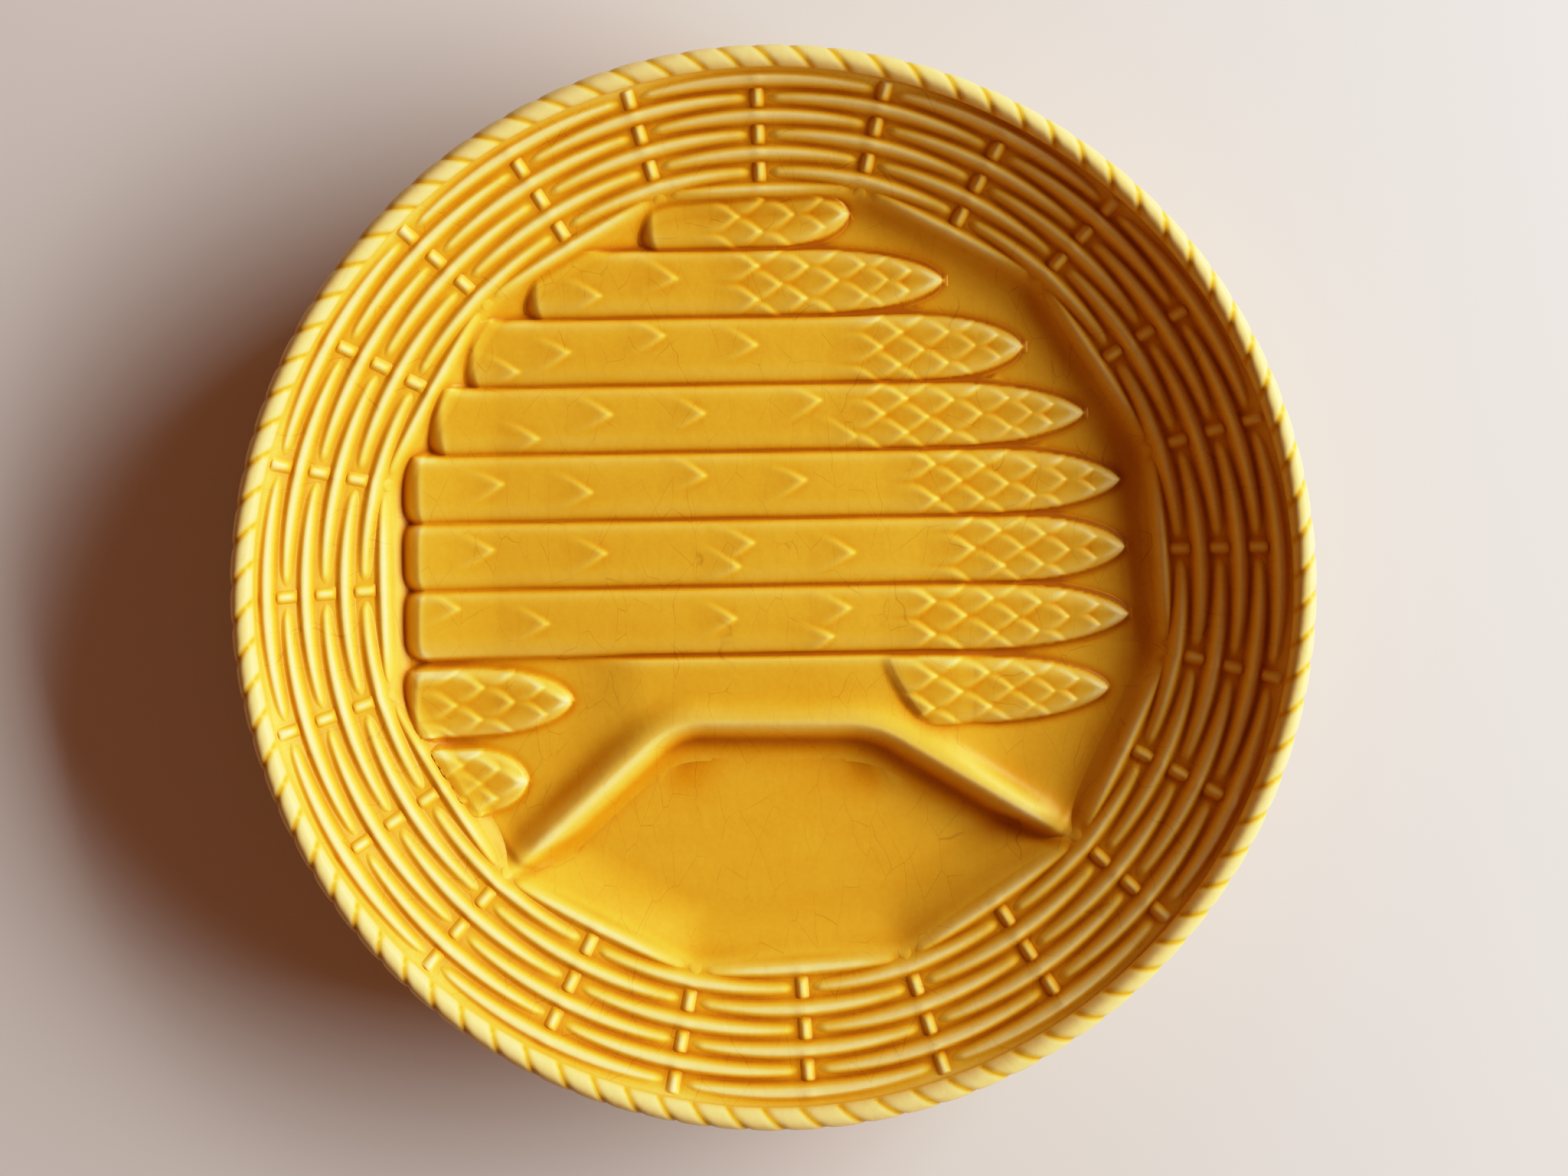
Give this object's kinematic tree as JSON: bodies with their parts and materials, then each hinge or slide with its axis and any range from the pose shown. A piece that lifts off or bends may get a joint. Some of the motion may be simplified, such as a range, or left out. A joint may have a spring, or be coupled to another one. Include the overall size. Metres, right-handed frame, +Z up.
{
  "type": "asparagus plate",
  "caption": "Round glazed earthenware asparagus plate with a basket-woven wall, rope border, spears in relief and a divided-off sauce compartment.",
  "frame": {"origin": "middle of the foot ring's resting face, on the table", "axes": "+Z up, +X towards the tips of the spears, +Y away from the diner; the sauce compartment is on the -Y side"},
  "size_m": [0.2498, 0.2498, 0.036],
  "materials": {
    "honey_glaze": "glossy honey glaze, pooled darker in the hollows",
    "bare_clay": "unglazed buff earthenware, wiped"
  },
  "bodies": {
    "root": {"dish_shell": "honey_glaze", "foot_ring": "bare_clay", "rope_border": "honey_glaze", "weave_row_1": "honey_glaze", "weave_row_2": "honey_glaze", "weave_row_3": "honey_glaze", "weave_row_4": "honey_glaze", "weave_row_5": "honey_glaze", "weave_row_6": "honey_glaze", "weave_row_7": "honey_glaze", "corner_stakes": "honey_glaze", "side_stakes": "honey_glaze", "sauce_divider": "honey_glaze", "spear_1": "honey_glaze", "spear_2": "honey_glaze", "spear_3": "honey_glaze", "spear_4": "honey_glaze", "spear_5": "honey_glaze", "spear_6": "honey_glaze", "spear_7": "honey_glaze", "spear_8": "honey_glaze", "spear_tip_upper": "honey_glaze", "spear_tip_lower": "honey_glaze"}
  },
  "joints": []
}
